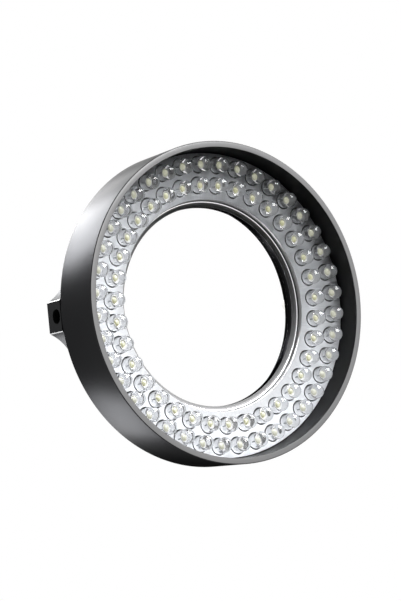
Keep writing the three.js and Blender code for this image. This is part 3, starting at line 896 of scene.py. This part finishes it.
heads = Builder()
for number in range(MOUNT_SCREWS):
    rod(heads, MOUNT_HOLE_RADIUS, *MOUNT_HOLE_ENDS, mount_place(number))
    rod(heads, HEAD_HOLE_RADIUS, *HEAD_HOLE_ENDS, mount_place(number))
sides = Builder()
for number in range(CLAMPS):
    rod(sides, CLAMP_HOLE_RADIUS, *CLAMP_HOLE_ENDS, clamp_place(number))
inlet = [
    (0, POCKET_OUTER),
    (INLET_RADIUS, POCKET_OUTER),
    (INLET_RADIUS, INLET_MOUTH_START),
    (INLET_MOUTH_RADIUS, INLET_MOUTH_END),
    (0, INLET_MOUTH_END),
]
inlet_place = outward(LUG_TURN, INLET_HEIGHT)
turned(sides, inlet, CUT_SIDES, [HOLE_BLACK] * len(inlet), place=inlet_place)
pocket_outline = [
    (POCKET_INNER, -POCKET_HALF_WIDTH),
    (POCKET_OUTER, -POCKET_HALF_WIDTH),
    (POCKET_OUTER, POCKET_HALF_WIDTH),
    (POCKET_INNER, POCKET_HALF_WIDTH),
]
pocket = prism(pocket_outline, POCKET_BOTTOM, POCKET_TOP).piece("pocket", COLLAR_LOOKS)
pocket.matrix_world = spin(LUG_TURN)
boolean(collar, heads.piece("heads", COLLAR_LOOKS))
boolean(collar, sides.piece("sides", COLLAR_LOOKS))
boolean(collar, pocket)
smooth(collar.data)
finished(collar, "housing", "mount_collar")

# Screws and clamp pads

SCREW_SIDES = 48
SMALL_EDGE = 0.2
MOUNT_RADIUS = 1.25
MOUNT_HEAD_RADIUS = 2.25
MOUNT_HEAD_BOTTOM = 0.3
MOUNT_END = 11.3
MOUNT_HEX_RADIUS = 1.15
MOUNT_HEX_TOP = 1.5
SCREW_RADIUS = 2.5
SCREW_INNER = 39.6
SCREW_OUTER = 46.6
SCREW_HEX_RADIUS = 1.44
SCREW_HEX_FLOOR = 44.1
STEM_HOLE_RADIUS = 1.1
STEM_HOLE_END = 41.3
PAD_RADIUS = 1.9
PAD_INNER = 38.2
PAD_OUTER = 39.3
STEM_RADIUS = 0.8
STEM_END = 41


def mount_screw(number):
    """A socket head screw that is driven from behind."""
    profile = [
        (0, MOUNT_HEX_TOP),
        (MOUNT_HEX_RADIUS, MOUNT_HEX_TOP),
        (MOUNT_HEX_RADIUS, MOUNT_HEAD_BOTTOM),
        (MOUNT_HEAD_RADIUS - SMALL_EDGE, MOUNT_HEAD_BOTTOM),
        (MOUNT_HEAD_RADIUS, MOUNT_HEAD_BOTTOM + SMALL_EDGE),
        (MOUNT_HEAD_RADIUS, MOUNT_HEAD_TOP),
        (MOUNT_RADIUS, MOUNT_HEAD_TOP),
        (MOUNT_RADIUS, MOUNT_END - SMALL_EDGE),
        (MOUNT_RADIUS - SMALL_EDGE, MOUNT_END),
        (0, MOUNT_END),
    ]
    worn = [0, 0, 1, 0, 1, 0, 0, 0, 0, 0]
    place = mount_place(number)
    builder = turned(
        Builder(), profile, SCREW_SIDES, edges=worn, place=place, hexed=MOUNT_HEX_RADIUS
    )
    piece = builder.piece(f"mount_screw_piece_{number + 1}", [dark_steel])
    finished(piece, "housing", f"mount_screw_{number + 1}")


def set_screw(number):
    """A headless screw whose socket opens outward, with a hole for the pad's stem at its inner end."""
    profile = [
        (0, STEM_HOLE_END),
        (STEM_HOLE_RADIUS, STEM_HOLE_END),
        (STEM_HOLE_RADIUS, SCREW_INNER),
        (SCREW_RADIUS - 2 * SMALL_EDGE, SCREW_INNER),
        (SCREW_RADIUS, SCREW_INNER + 2 * SMALL_EDGE),
        (SCREW_RADIUS, SCREW_OUTER - SMALL_EDGE),
        (SCREW_RADIUS - SMALL_EDGE, SCREW_OUTER),
        (SCREW_HEX_RADIUS, SCREW_OUTER),
        (SCREW_HEX_RADIUS, SCREW_HEX_FLOOR),
        (0, SCREW_HEX_FLOOR),
    ]
    worn = [0, 0, 0, 0, 1, 1, 0, 1, 0, 0]
    place = clamp_place(number)
    builder = turned(
        Builder(), profile, SCREW_SIDES, edges=worn, place=place, hexed=SCREW_HEX_RADIUS
    )
    piece = builder.piece(f"set_screw_piece_{number + 1}", [dark_steel])
    finished(piece, f"set_screw_{number + 1}", f"set_screw_{number + 1}")


def clamp_pad(number):
    """A nylon pad whose stem sits in the screw's inner end."""
    profile = [
        (0, PAD_INNER),
        (PAD_RADIUS - SMALL_EDGE, PAD_INNER),
        (PAD_RADIUS, PAD_INNER + SMALL_EDGE),
        (PAD_RADIUS, PAD_OUTER - SMALL_EDGE),
        (PAD_RADIUS - SMALL_EDGE, PAD_OUTER),
        (STEM_RADIUS, PAD_OUTER),
        (STEM_RADIUS, STEM_END - SMALL_EDGE),
        (STEM_RADIUS - SMALL_EDGE, STEM_END),
        (0, STEM_END),
    ]
    builder = turned(Builder(), profile, SCREW_SIDES, place=clamp_place(number))
    piece = builder.piece(f"clamp_pad_piece_{number + 1}", [nylon])
    finished(piece, f"clamp_pad_{number + 1}", f"clamp_pad_{number + 1}")


for number in range(MOUNT_SCREWS):
    mount_screw(number)
for number in range(CLAMPS):
    set_screw(number)
    clamp_pad(number)

# Nodes that keep their CAD shape, by how their names start

CARRIED = {
    "wiring_board": board_mask,
    "ballast_resistors": ceramic,
    "polarity_diode": black_plastic,
    "wire_terminal": nylon,
    "power_socket": black_plastic,
    "socket_centre_pin": tinned,
    "socket_spring_contact": brass,
    "red_wire": red_jacket,
    "black_wire": black_jacket,
    "board_standoff_": brass,
    "board_screw_": dark_steel,
}
for node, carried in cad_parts.items():
    for start, material in CARRIED.items():
        if node.startswith(start):
            carried.data.materials.clear()
            carried.data.materials.append(material)

# Floor and world, in metres

WORLD_LIGHT = 0.02
FLOOR_HALF = 4
FLOOR_HEIGHT = -1.2
FLOOR_GREY = 0.8
FLOOR_ROUGHNESS = 0.9
# The black card's middle on the floor, and where it starts and stops to fade
CARD_PLACE = (0.75, -0.4, FLOOR_HEIGHT)
CARD_INNER = 0.45
CARD_OUTER = 0.62


def background_share(tree):
    """1 for rays that should meet the plain white background, else 0. Rays that gather light for a
    matt surface don't, also where they come by way of metal or glass."""
    path = tree.nodes.new("ShaderNodeLightPath")
    seen = math_node(tree, "MAXIMUM", path.outputs["Is Camera Ray"], path.outputs["Is Glossy Ray"])
    seen = math_node(tree, "MAXIMUM", seen, path.outputs["Is Transmission Ray"])
    direct = math_node(tree, "LESS_THAN", path.outputs["Diffuse Depth"], 0.5)
    return math_node(tree, "MULTIPLY", seen, direct)


def card_share(tree):
    """1 for reflections that meet a soft round spot of the floor, else 0. They find black there, as
    with a black card beside the object, which keeps the ring's lower edge dark."""
    coords = tree.nodes.new("ShaderNodeTexCoord")
    reach = tree.nodes.new("ShaderNodeVectorMath")
    reach.operation = "DISTANCE"
    reach.inputs[1].default_value = CARD_PLACE
    tree.links.new(coords.outputs["Object"], reach.inputs[0])
    ramp = map_range(tree, reach.outputs["Value"], CARD_OUTER, CARD_INNER)
    ramp.interpolation_type = "SMOOTHSTEP"
    path = tree.nodes.new("ShaderNodeLightPath")
    return math_node(tree, "MULTIPLY", ramp.outputs["Result"], path.outputs["Is Glossy Ray"])


def plain_emission(tree, strength):
    node = tree.nodes.new("ShaderNodeEmission")
    node.inputs["Strength"].default_value = strength
    return node.outputs[0]


world = bpy.data.worlds.new("world")
scene.world = world
world.use_nodes = True
tree = world.node_tree
dim = tree.nodes["Background"]
white = tree.nodes.new("ShaderNodeBackground")
for node, strength in ((dim, WORLD_LIGHT), (white, 1)):
    node.inputs["Color"].default_value = (1, 1, 1, 1)
    node.inputs["Strength"].default_value = strength
sky = mixed_shader(tree, background_share(tree), dim.outputs[0], white.outputs[0])
tree.links.new(sky, tree.nodes["World Output"].inputs["Surface"])

floor_material, tree, shader = new_material("floor")
shader.inputs["Base Color"].default_value = (FLOOR_GREY, FLOOR_GREY, FLOOR_GREY, 1)
shader.inputs["Roughness"].default_value = FLOOR_ROUGHNESS
ground = mixed_shader(tree, background_share(tree), shader.outputs["BSDF"], plain_emission(tree, 1))
ground = mixed_shader(tree, card_share(tree), ground, plain_emission(tree, 0))
tree.links.new(ground, tree.nodes["Material Output"].inputs["Surface"])
floor_mesh = bpy.data.meshes.new("floor")
signs = ((-1, -1), (1, -1), (1, 1), (-1, 1))
corners = [(x * FLOOR_HALF, y * FLOOR_HALF, FLOOR_HEIGHT) for x, y in signs]
floor_mesh.from_pydata(corners, [], [(0, 1, 2, 3)])
floor_mesh.materials.append(floor_material)
floor = bpy.data.objects.new("floor", floor_mesh)
scene.collection.objects.link(floor)

# Lights, in metres and watts

CENTRE = Vector((0, 0, HEIGHT / 2)) * MM


def softbox(name, azimuth, elevation, distance, size, power, matt=True):
    """An area light that faces the ring, placed by degrees round the ring and above its plane.
    With matt off, only reflections see it."""
    data = bpy.data.lights.new(name, "AREA")
    data.shape = "RECTANGLE"
    data.size, data.size_y = size
    data.energy = power
    light = bpy.data.objects.new(name, data)
    round_angle, rise = math.radians(azimuth), math.radians(elevation)
    level = math.cos(rise)
    direction = Vector((level * math.cos(round_angle), level * math.sin(round_angle), math.sin(rise)))
    light.location = CENTRE + direction * distance
    light.rotation_mode = "QUATERNION"
    light.rotation_quaternion = direction.to_track_quat("Z", "Y")
    light.visible_camera = False
    light.visible_diffuse = matt
    light.visible_transmission = False
    scene.collection.objects.link(light)


softbox("key", azimuth=60, elevation=19, distance=1, size=(0.9, 0.5), power=25)
softbox("top", azimuth=72, elevation=47, distance=1, size=(0.2, 0.2), power=1.7)
softbox("glint", azimuth=72, elevation=47, distance=1, size=(0.55, 0.55), power=16, matt=False)
softbox("band", azimuth=112, elevation=-56, distance=0.9, size=(0.4, 0.3), power=24)
softbox("band_end", azimuth=80, elevation=-56, distance=0.9, size=(0.3, 0.3), power=2.5)
softbox("glow", azimuth=253, elevation=-56, distance=0.9, size=(0.35, 0.25), power=8)

scene.view_settings.view_transform = "Standard"
